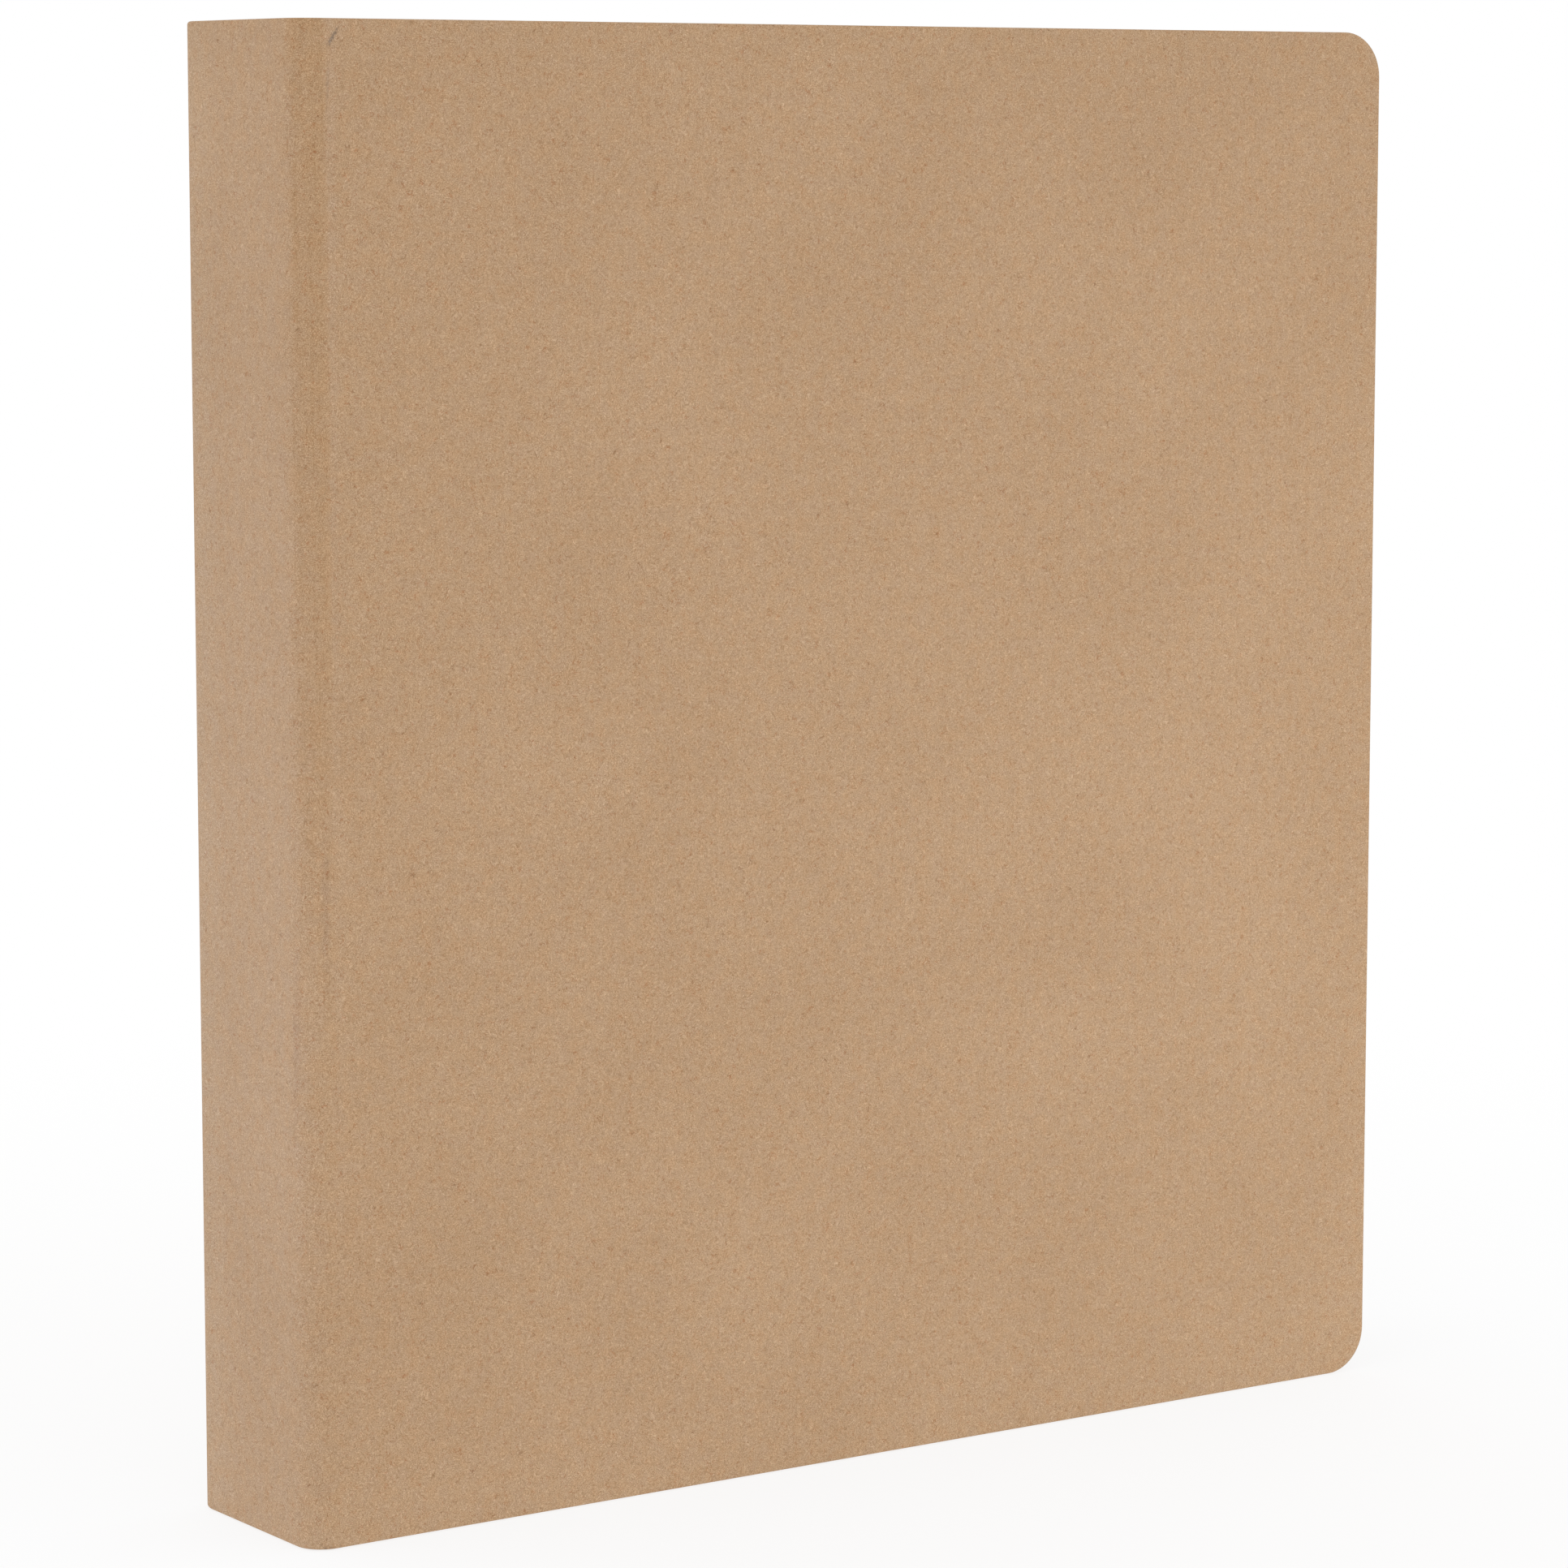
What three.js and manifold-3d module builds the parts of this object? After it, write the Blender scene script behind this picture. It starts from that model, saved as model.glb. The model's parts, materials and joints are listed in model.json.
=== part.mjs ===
// A kraft paper ring album for letter-size leaves, standing closed on its lower edges.
//
// Millimetres. +Z is up, the spine faces -X and the front cover faces -Y.
// The origin is the middle of the base of the album's bounding box.
//
// The case is three boards wrapped in kraft paper and joined by two flexible paper hinges.
// A three-ring mechanism is riveted to the inside of the spine, and holds punched card leaves.

import * as THREE from "three";
import { mergeVertices } from "three/addons/utils/BufferGeometryUtils.js";
import Module from "manifold-3d";

const wasm = await Module();
wasm.setup();

// ---------------------------------------------------------------- driving dimensions

// Case
const ALBUM_WIDTH = 267;
const ALBUM_DEPTH = 45.5;
const ALBUM_HEIGHT = 292;
const HINGE_RADIUS = 6; // outer radius of the bent paper at each long edge of the spine
const COVER_CORNER_RADIUS = 9.5; // fore-edge corners
const PAPER = 0.4;
const BOARD = 1.7;
const GLUE = 0.05;
const TURN_IN = 6; // width of wrap that shows round each liner
const LINER_GAP = 0.15;
const HINGE_GAP = 0.3; // between a hinge strip and the cover that swings on it
const CORNER_STEPS = 8;

// Ring mechanism: "out" is the distance from the spine's inner face, towards the fore edge
const RING_PITCH = 107.95;
const RING_RADIUS = 14.3; // of the wire's centre line
const RING_CENTRE_OUT = 16;
const WIRE_RADIUS = 1.3;
const WIRE_SIDES = 10;
const RING_ROOT_Y = 8; // where a half ring meets its rail
const RING_BEND = 1.2; // length of the bend between the ring's root and its round part
const RING_BEND_STEPS = 4;
const RING_ARC_STEPS = 18;
const TIP_GAP = 0.15;
const TIP_CONE = { radius: 0.65, height: 0.8, root: 0.3 };
const TIP_SOCKET = { radius: 0.95, depth: 1.1 };

const PLATE_LENGTH = 282;
const PLATE_HALF_WIDTH = 11.5;
const PLATE_FOOT_OUT = 0.3;
const PLATE_TOP_OUT = 6.5;
const PLATE_SHEET = 0.8;
const PLATE_SHOULDER = 3.2;
const PLATE_CROWN = 0.5;
const PLATE_LIP = 1.3;
const PLATE_SLOT = { inner: 6.9, floor: 3.7, width: 3.8 };
const PLATE_END_NOTCH = { halfWidth: 4.7, floor: 2, inset: 3 };

const RAIL_PIVOT_Y = 10.4;
const RAIL_PIVOT_OUT = 2.6;
const RAIL_WIDTH = 9.9;
const RAIL_SHEET = 0.8;
const RAIL_REST_TILT = THREE.MathUtils.degToRad(5);
const RAIL_NOTCH_RADIUS = 3.4;
const RAIL_END_GAP = 2.6; // from a rail's end to the lever pin

const LEVER_PIN_Z = 135; // above and below the middle of the mechanism
const LEVER_PIN_OUT = 3.4;
const LEVER_PIN_RADIUS = 1;
const LEVER_PIN_PROUD = 0.4; // how far each end of the pin stands out of the plate
const LEVER_PIN_LENGTH = 2 * (PLATE_HALF_WIDTH + LEVER_PIN_PROUD);
const LEVER_HOLE_CLEARANCE = 0.2;
const LEVER_WIDTH = 8;
const LEVER_SHEET = 1.2;
const LEVER_KNUCKLE_RADIUS = 2;
const LEVER_TAB_LENGTH = 9.4;
const LEVER_TAB_ANGLE = THREE.MathUtils.degToRad(45);
const LEVER_CURL_RADIUS = 0.9;
const LEVER_FOOT = { reach: 3.8, depth: 2.75, sheet: 0.7, width: 2.4 };

const RIVET_Z = 66; // above and below the middle of the mechanism
const RIVET = {
  shankRadius: 2,
  headRadius: 4.4,
  headHeight: 1.5,
  flangeRadius: 4,
  flangeHeight: 0.5,
  clearance: 0.3,
  seatGap: 0.1,
};

// Leaves
const LEAF_COUNT = 10;
const LEAF_WIDTH = 216;
const LEAF_HEIGHT = 279;
const LEAF_SHEET = 0.5;
const LEAF_PITCH = 0.95;
const LEAF_CORNER_RADIUS = 3;
const LEAF_HOLE_RADIUS = 3.7;
const LEAF_HOLE_INSET = 12.7; // from the binding edge to a hole's centre
const LEAF_HOLE_OUT = RING_CENTRE_OUT + 15.4;
const LEAF_CORNER_STEPS = 8;

const ROUND_STEPS = 24;
const CUT_MARGIN = 1; // how far a cutting solid runs past the face that it opens
const MERGE_DISTANCE = 1e-4;

// ---------------------------------------------------------------- derived places

const COVER_SHEET = 2 * (PAPER + GLUE) + BOARD;
const SPINE_OUTER_X = -ALBUM_WIDTH / 2;
const SPINE_INNER_X = SPINE_OUTER_X + COVER_SHEET;
const FORE_EDGE_X = ALBUM_WIDTH / 2;
const MIDDLE_Z = ALBUM_HEIGHT / 2;
const HINGE_CENTRE_Y = ALBUM_DEPTH / 2 - HINGE_RADIUS;
const SPINE_FLAT_WIDTH = 2 * (HINGE_CENTRE_Y - GLUE);
const COVER_START_X = SPINE_OUTER_X + HINGE_RADIUS + HINGE_GAP;
const FRONT = -1;
const BACK = 1;
const SIDES = [
  { name: "front", sign: FRONT },
  { name: "back", sign: BACK },
];
const RING_LEVELS = [
  { name: "top", z: RING_PITCH },
  { name: "middle", z: 0 },
  { name: "bottom", z: -RING_PITCH },
];

// ---------------------------------------------------------------- materials

function material(color, roughness, metalness) {
  return () => new THREE.MeshStandardMaterial({ color, roughness, metalness });
}

const kraftPaper = material("#b99a78", 0.92, 0);
const greyBoard = material("#8f8a80", 0.95, 0);
const kraftLiner = material("#b7946c", 0.92, 0);
const nickelSteel = material("#c9cbce", 0.28, 1);
const ivoryCard = material("#e9e0cb", 0.88, 0);

// ---------------------------------------------------------------- solids

function solidOf(geometry) {
  const bare = geometry.clone();
  bare.deleteAttribute("normal");
  bare.deleteAttribute("uv");
  const merged = mergeVertices(bare, MERGE_DISTANCE);
  return new wasm.Manifold(
    new wasm.Mesh({
      numProp: 3,
      vertProperties: new Float32Array(merged.attributes.position.array),
      triVerts: new Uint32Array(merged.index.array),
    }),
  );
}

function geometryOf(solid) {
  const { vertProperties, triVerts } = solid.getMesh();
  const geometry = new THREE.BufferGeometry();
  geometry.setAttribute("position", new THREE.BufferAttribute(vertProperties, 3));
  geometry.setIndex(new THREE.BufferAttribute(triVerts, 1));
  geometry.computeVertexNormals();
  return geometry;
}

function cut(geometry, cutters) {
  const blank = solidOf(geometry);
  return geometryOf(cutters.reduce((solid, cutter) => solid.subtract(solidOf(cutter)), blank));
}

function join(geometries) {
  const [first, ...others] = geometries.map(solidOf);
  return geometryOf(others.reduce((solid, other) => solid.add(other), first));
}

function extrude(shape, depth, curveSegments) {
  return new THREE.ExtrudeGeometry(shape, { depth, bevelEnabled: false, curveSegments });
}

// An outline drawn in X and Z, made into a sheet between two values of Y.
function uprightSheet(shape, startY, endY, curveSegments) {
  const sheet = extrude(shape, endY - startY, curveSegments);
  return sheet.rotateX(Math.PI / 2).translate(0, endY, 0);
}

function box(lowX, highX, lowY, highY, lowZ, highZ) {
  const geometry = new THREE.BoxGeometry(highX - lowX, highY - lowY, highZ - lowZ);
  return geometry.translate((lowX + highX) / 2, (lowY + highY) / 2, (lowZ + highZ) / 2);
}

function rodAlongX(radius, lowX, highX, y, z) {
  const rod = new THREE.CylinderGeometry(radius, radius, highX - lowX, ROUND_STEPS);
  return rod.rotateZ(-Math.PI / 2).translate((lowX + highX) / 2, y, z);
}

function rodAlongY(radius, length) {
  return new THREE.CylinderGeometry(radius, radius, length, ROUND_STEPS);
}

function part(name, geometry, makeMaterial) {
  const mesh = new THREE.Mesh(geometry, makeMaterial());
  mesh.name = name;
  return mesh;
}

// ---------------------------------------------------------------- covers

// The outline of a cover, inset by a margin on its three free edges.
function coverOutline(startX, margin) {
  const endX = FORE_EDGE_X - margin;
  const lowZ = margin;
  const highZ = ALBUM_HEIGHT - margin;
  const radius = Math.max(COVER_CORNER_RADIUS - margin, PAPER);
  const outline = new THREE.Shape();
  outline.moveTo(startX, lowZ);
  outline.lineTo(endX - radius, lowZ);
  outline.absarc(endX - radius, lowZ + radius, radius, -Math.PI / 2, 0, false);
  outline.lineTo(endX, highZ - radius);
  outline.absarc(endX - radius, highZ - radius, radius, 0, Math.PI / 2, false);
  outline.lineTo(startX, highZ);
  outline.closePath();
  return outline;
}

// A layer of a cover, between two depths measured inwards from its outer face.
function coverLayer(sign, outline, outerDepth, innerDepth) {
  const outerY = sign * (ALBUM_DEPTH / 2 - outerDepth);
  const innerY = sign * (ALBUM_DEPTH / 2 - innerDepth);
  return uprightSheet(outline, Math.min(outerY, innerY), Math.max(outerY, innerY), CORNER_STEPS);
}

function coverParts({ name, sign }) {
  const pastHingeEdge = COVER_START_X - CUT_MARGIN;
  const linerDepth = COVER_SHEET - PAPER;
  const wrap = cut(coverLayer(sign, coverOutline(COVER_START_X, 0), 0, COVER_SHEET), [
    coverLayer(sign, coverOutline(pastHingeEdge, PAPER), PAPER, linerDepth),
    coverLayer(sign, coverOutline(pastHingeEdge, TURN_IN), linerDepth - GLUE, COVER_SHEET + CUT_MARGIN),
  ]);
  const boardOutline = coverOutline(COVER_START_X, PAPER + GLUE);
  const board = coverLayer(sign, boardOutline, PAPER + GLUE, linerDepth - GLUE);
  const linerOutline = coverOutline(COVER_START_X, TURN_IN + LINER_GAP);
  const liner = coverLayer(sign, linerOutline, linerDepth, COVER_SHEET);
  return [
    part(`${name}_wrap`, wrap, kraftPaper),
    part(`${name}_board`, board, greyBoard),
    part(`${name}_liner`, liner, kraftLiner),
  ];
}

// ---------------------------------------------------------------- spine

function spineSlab(lowX, highX, margin, lowZ, highZ) {
  const halfWidth = SPINE_FLAT_WIDTH / 2 - margin;
  return box(SPINE_OUTER_X + lowX, SPINE_OUTER_X + highX, -halfWidth, halfWidth, lowZ, highZ);
}

function rivetHoles(radius, lowX, highX) {
  return [-RIVET_Z, RIVET_Z].map((z) => rodAlongX(radius, lowX, highX, 0, MIDDLE_Z + z));
}

function spineParts() {
  const linerDepth = COVER_SHEET - PAPER;
  const top = ALBUM_HEIGHT;
  const holeRadius = RIVET.shankRadius + RIVET.clearance;
  const holes = () => rivetHoles(holeRadius, SPINE_OUTER_X + PAPER, SPINE_INNER_X + CUT_MARGIN);
  const seatDepth = PAPER + GLUE + RIVET.flangeHeight + RIVET.seatGap;
  const seats = rivetHoles(
    RIVET.flangeRadius + RIVET.clearance,
    SPINE_OUTER_X + PAPER,
    SPINE_OUTER_X + seatDepth,
  );
  const wrap = cut(spineSlab(0, COVER_SHEET, 0, 0, top), [
    spineSlab(PAPER, linerDepth, -CUT_MARGIN, PAPER, top - PAPER),
    spineSlab(linerDepth - GLUE, COVER_SHEET + CUT_MARGIN, -CUT_MARGIN, TURN_IN, top - TURN_IN),
  ]);
  const boardMargin = PAPER + GLUE;
  const board = spineSlab(boardMargin, linerDepth - GLUE, 0, boardMargin, top - boardMargin);
  const linerMargin = TURN_IN + LINER_GAP;
  const liner = spineSlab(linerDepth, COVER_SHEET, 0, linerMargin, top - linerMargin);
  return [
    part("spine_wrap", wrap, kraftPaper),
    part("spine_board", cut(board, [...holes(), ...seats]), greyBoard),
    part("spine_liner", cut(liner, holes()), kraftLiner),
  ];
}

// A quarter-round strip of doubled paper from the spine's edge to the cover's edge.
function hingeStrip({ name, sign }) {
  const sheet = 2 * PAPER;
  const strip = new THREE.Shape();
  strip.absarc(0, 0, HINGE_RADIUS, Math.PI, Math.PI * 1.5, false);
  strip.absarc(0, 0, HINGE_RADIUS - sheet, Math.PI * 1.5, Math.PI, true);
  strip.closePath();
  const geometry = extrude(strip, ALBUM_HEIGHT, CORNER_STEPS);
  if (sign === BACK) geometry.rotateX(Math.PI).translate(0, 0, ALBUM_HEIGHT);
  const mesh = part(`${name}_hinge_strip`, geometry, kraftPaper);
  mesh.position.set(SPINE_OUTER_X + HINGE_RADIUS, sign * HINGE_CENTRE_Y, 0);
  return mesh;
}

// ---------------------------------------------------------------- ring mechanism
// Its group sits on the spine's inner face: X is the distance out, Z is from the middle ring.

function plateProfile() {
  const shoulderOut = PLATE_TOP_OUT - PLATE_CROWN - PLATE_SHOULDER;
  const shoulderY = PLATE_HALF_WIDTH - PLATE_SHOULDER;
  const innerShoulder = PLATE_SHOULDER - PLATE_SHEET;
  const wallY = PLATE_HALF_WIDTH - PLATE_SHEET;
  const lipOut = PLATE_FOOT_OUT + PLATE_SHEET;
  const profile = new THREE.Shape();
  profile.moveTo(PLATE_FOOT_OUT, -PLATE_HALF_WIDTH);
  profile.lineTo(shoulderOut, -PLATE_HALF_WIDTH);
  profile.absarc(shoulderOut, -shoulderY, PLATE_SHOULDER, -Math.PI / 2, 0, false);
  profile.lineTo(PLATE_TOP_OUT, -RIVET.headRadius);
  profile.lineTo(PLATE_TOP_OUT, RIVET.headRadius);
  profile.absarc(shoulderOut, shoulderY, PLATE_SHOULDER, 0, Math.PI / 2, false);
  profile.lineTo(PLATE_FOOT_OUT, PLATE_HALF_WIDTH);
  profile.lineTo(PLATE_FOOT_OUT, wallY - PLATE_LIP);
  profile.lineTo(lipOut, wallY - PLATE_LIP);
  profile.lineTo(lipOut, wallY);
  profile.absarc(shoulderOut, shoulderY, innerShoulder, Math.PI / 2, 0, true);
  profile.lineTo(PLATE_TOP_OUT - PLATE_SHEET, RIVET.headRadius);
  profile.lineTo(PLATE_TOP_OUT - PLATE_SHEET, -RIVET.headRadius);
  profile.absarc(shoulderOut, -shoulderY, innerShoulder, 0, -Math.PI / 2, true);
  profile.lineTo(lipOut, -wallY);
  profile.lineTo(lipOut, PLATE_LIP - wallY);
  profile.lineTo(PLATE_FOOT_OUT, PLATE_LIP - wallY);
  profile.closePath();
  return profile;
}

function ringSlots() {
  const past = PLATE_TOP_OUT + CUT_MARGIN;
  const half = PLATE_SLOT.width / 2;
  return RING_LEVELS.flatMap(({ z }) =>
    SIDES.map(({ sign }) => {
      const ends = [sign * PLATE_SLOT.inner, sign * (PLATE_HALF_WIDTH + CUT_MARGIN)];
      return box(PLATE_SLOT.floor, past, Math.min(...ends), Math.max(...ends), z - half, z + half);
    }),
  );
}

// The open notch in each end of the plate, and the holes for the lever's pin.
function plateEndCuts() {
  const { halfWidth, floor, inset } = PLATE_END_NOTCH;
  const past = PLATE_TOP_OUT + CUT_MARGIN;
  return [-1, 1].flatMap((end) => {
    const ends = [end * (LEVER_PIN_Z - inset), end * (PLATE_LENGTH / 2 + CUT_MARGIN)];
    const notch = box(floor, past, -halfWidth, halfWidth, Math.min(...ends), Math.max(...ends));
    const pinHole = rodAlongY(LEVER_PIN_RADIUS + LEVER_HOLE_CLEARANCE, LEVER_PIN_LENGTH + CUT_MARGIN);
    pinHole.translate(LEVER_PIN_OUT, 0, end * LEVER_PIN_Z);
    return [notch, pinHole];
  });
}

function ringPlate() {
  const blank = extrude(plateProfile(), PLATE_LENGTH, CORNER_STEPS).translate(0, 0, -PLATE_LENGTH / 2);
  const rivetHole = (z) =>
    rodAlongX(RIVET.shankRadius + RIVET.clearance, PLATE_FOOT_OUT, PLATE_TOP_OUT + CUT_MARGIN, 0, z);
  const geometry = cut(blank, [
    ...ringSlots(),
    ...plateEndCuts(),
    rivetHole(-RIVET_Z),
    rivetHole(RIVET_Z),
  ]);
  return part("ring_plate", geometry, nickelSteel);
}

// A rail turns about its outer edge, and its inner edge dips towards the spine while the rings are shut.
function rail({ name, sign }) {
  const halfLength = LEVER_PIN_Z - RAIL_END_GAP;
  const ends = [0, -sign * RAIL_WIDTH];
  const half = RAIL_SHEET / 2;
  const blank = box(-half, half, Math.min(...ends), Math.max(...ends), -halfLength, halfLength);
  const notch = (z) =>
    rodAlongX(RAIL_NOTCH_RADIUS, -CUT_MARGIN, CUT_MARGIN, -sign * RAIL_PIVOT_Y, z);
  const mesh = part(`${name}_rail`, cut(blank, [notch(-RIVET_Z), notch(RIVET_Z)]), nickelSteel);
  mesh.position.set(RAIL_PIVOT_OUT, sign * RAIL_PIVOT_Y, 0);
  mesh.rotation.z = -sign * RAIL_REST_TILT;
  return mesh;
}

// The centre line of a half ring: up from its rail, round a short bend, then round to the tip.
function halfRingPath(sign) {
  const rootAngle = Math.PI - Math.asin(RING_ROOT_Y / RING_RADIUS);
  const bendAngle = rootAngle - RING_BEND / RING_RADIUS;
  const onRing = (angle) =>
    new THREE.Vector3(
      RING_CENTRE_OUT + RING_RADIUS * Math.cos(angle),
      sign * RING_RADIUS * Math.sin(angle),
      0,
    );
  const railDepth = (RAIL_PIVOT_Y - RING_ROOT_Y) * Math.sin(RAIL_REST_TILT);
  const railTop = RAIL_PIVOT_OUT - railDepth + RAIL_SHEET / 2 + WIRE_RADIUS * Math.sin(RAIL_REST_TILT);
  const corner = onRing(rootAngle);
  const foot = corner.clone().setX(railTop + TIP_GAP);
  const bend = new THREE.QuadraticBezierCurve3(foot, corner, onRing(bendAngle)).getPoints(RING_BEND_STEPS);
  const tipAngle = TIP_GAP / RING_RADIUS;
  const round = Array.from({ length: RING_ARC_STEPS }, (_, step) =>
    onRing(THREE.MathUtils.lerp(bendAngle, tipAngle, (step + 1) / RING_ARC_STEPS)),
  );
  return [...bend, ...round];
}

function wireSection() {
  const section = new THREE.Shape();
  section.absarc(0, 0, WIRE_RADIUS, 0, 2 * Math.PI, false);
  return section;
}

function halfRing({ name, sign }, level) {
  const points = halfRingPath(sign);
  const wire = new THREE.ExtrudeGeometry(wireSection(), {
    extrudePath: new THREE.CatmullRomCurve3(points),
    steps: points.length,
    curveSegments: WIRE_SIDES / 2, // steps for each half turn of the section
    bevelEnabled: false,
  });
  const tipOut = RING_CENTRE_OUT + RING_RADIUS;
  const cone = new THREE.ConeGeometry(TIP_CONE.radius, TIP_CONE.height + TIP_CONE.root, WIRE_SIDES);
  cone.translate(tipOut, (TIP_CONE.height - TIP_CONE.root) / 2 - TIP_GAP, 0);
  const socket = new THREE.ConeGeometry(TIP_SOCKET.radius, TIP_SOCKET.depth, WIRE_SIDES);
  socket.translate(tipOut, TIP_SOCKET.depth / 2 + TIP_GAP, 0);
  const geometry = sign === FRONT ? join([wire, cone]) : cut(wire, [socket]);
  const mesh = part(`${name}_ring_${level.name}`, geometry, nickelSteel);
  mesh.position.z = level.z;
  return mesh;
}

// A bent lever: a finger tab, a knuckle round the pin, and a tongue that lifts the rails.
function leverGeometry() {
  const half = LEVER_WIDTH / 2;
  const halfSheet = LEVER_SHEET / 2;
  const tab = box(0, LEVER_TAB_LENGTH, -half, half, -halfSheet, halfSheet);
  const curl = rodAlongY(LEVER_CURL_RADIUS, LEVER_WIDTH).translate(LEVER_TAB_LENGTH, 0, halfSheet / 2);
  const knuckle = rodAlongY(LEVER_KNUCKLE_RADIUS, LEVER_WIDTH);
  const { reach, depth, sheet, width } = LEVER_FOOT;
  const low = -depth - sheet / 2;
  const neck = box(low, 0, -width / 2, width / 2, -LEVER_SHEET, halfSheet);
  const foot = box(low, low + sheet, -width / 2, width / 2, -reach, 0);
  for (const piece of [tab, curl]) piece.rotateY(LEVER_TAB_ANGLE - Math.PI / 2);
  const body = join([tab, curl, knuckle, neck, foot]);
  const pinHole = rodAlongY(LEVER_PIN_RADIUS + LEVER_HOLE_CLEARANCE, LEVER_WIDTH + CUT_MARGIN);
  return cut(body, [pinHole]);
}

function leverParts(name, end) {
  const lever = part(`${name}_lever`, leverGeometry(), nickelSteel);
  const pin = part(`${name}_lever_pin`, rodAlongY(LEVER_PIN_RADIUS, LEVER_PIN_LENGTH), nickelSteel);
  for (const mesh of [lever, pin]) mesh.position.set(LEVER_PIN_OUT, 0, end * LEVER_PIN_Z);
  if (end < 0) lever.rotation.x = Math.PI;
  return [lever, pin];
}

// A domed head over the plate, a shank, and a flange clinched into the back of the spine board.
function rivet(name, z) {
  const { shankRadius, headRadius, headHeight, flangeRadius, flangeHeight, seatGap } = RIVET;
  const flangeOut = -COVER_SHEET + PAPER + GLUE;
  const headOut = PLATE_TOP_OUT + seatGap;
  const domeSteps = 6;
  const dome = Array.from({ length: domeSteps + 1 }, (_, step) => {
    const angle = (step / domeSteps) * (Math.PI / 2);
    return new THREE.Vector2(headRadius * Math.cos(angle), headOut + headHeight * Math.sin(angle));
  });
  dome[domeSteps].x = 0;
  const profile = [
    new THREE.Vector2(0, flangeOut),
    new THREE.Vector2(flangeRadius, flangeOut),
    new THREE.Vector2(flangeRadius, flangeOut + flangeHeight),
    new THREE.Vector2(shankRadius, flangeOut + flangeHeight),
    new THREE.Vector2(shankRadius, headOut),
    ...dome,
  ];
  const geometry = new THREE.LatheGeometry(profile, ROUND_STEPS).rotateZ(-Math.PI / 2);
  const mesh = part(name, geometry, nickelSteel);
  mesh.position.z = z;
  return mesh;
}

function ringMechanism() {
  const mechanism = new THREE.Group();
  mechanism.position.set(SPINE_INNER_X, 0, MIDDLE_Z);
  mechanism.add(ringPlate());
  for (const side of SIDES) {
    mechanism.add(rail(side));
    for (const level of RING_LEVELS) mechanism.add(halfRing(side, level));
  }
  mechanism.add(...leverParts("top", 1), ...leverParts("bottom", -1));
  mechanism.add(rivet("upper_rivet", RIVET_Z), rivet("lower_rivet", -RIVET_Z));
  return mechanism;
}

// ---------------------------------------------------------------- leaves

function leafOutline() {
  const lowX = LEAF_HOLE_OUT - LEAF_HOLE_INSET;
  const highX = lowX + LEAF_WIDTH;
  const halfHeight = LEAF_HEIGHT / 2;
  const radius = LEAF_CORNER_RADIUS;
  const outline = new THREE.Shape();
  outline.moveTo(lowX, -halfHeight);
  outline.lineTo(highX - radius, -halfHeight);
  outline.absarc(highX - radius, radius - halfHeight, radius, -Math.PI / 2, 0, false);
  outline.lineTo(highX, halfHeight - radius);
  outline.absarc(highX - radius, halfHeight - radius, radius, 0, Math.PI / 2, false);
  outline.lineTo(lowX, halfHeight);
  outline.closePath();
  for (const { z } of RING_LEVELS) {
    const hole = new THREE.Path();
    hole.absarc(LEAF_HOLE_OUT, z, LEAF_HOLE_RADIUS, 0, 2 * Math.PI, true);
    outline.holes.push(hole);
  }
  return outline;
}

function leaves() {
  const stack = new THREE.Group();
  stack.position.set(SPINE_INNER_X, 0, MIDDLE_Z);
  for (let index = 0; index < LEAF_COUNT; index += 1) {
    const sheet = uprightSheet(leafOutline(), -LEAF_SHEET / 2, LEAF_SHEET / 2, LEAF_CORNER_STEPS);
    const leaf = part(`leaf_${String(index + 1).padStart(2, "0")}`, sheet, ivoryCard);
    leaf.position.y = (index - (LEAF_COUNT - 1) / 2) * LEAF_PITCH;
    stack.add(leaf);
  }
  return stack;
}

// ---------------------------------------------------------------- album

const album = new THREE.Group();
for (const side of SIDES) {
  album.add(...coverParts(side));
  album.add(hingeStrip(side));
}
album.add(...spineParts());
album.add(ringMechanism());
album.add(leaves());

export default album;
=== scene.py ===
import json
import math

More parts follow.
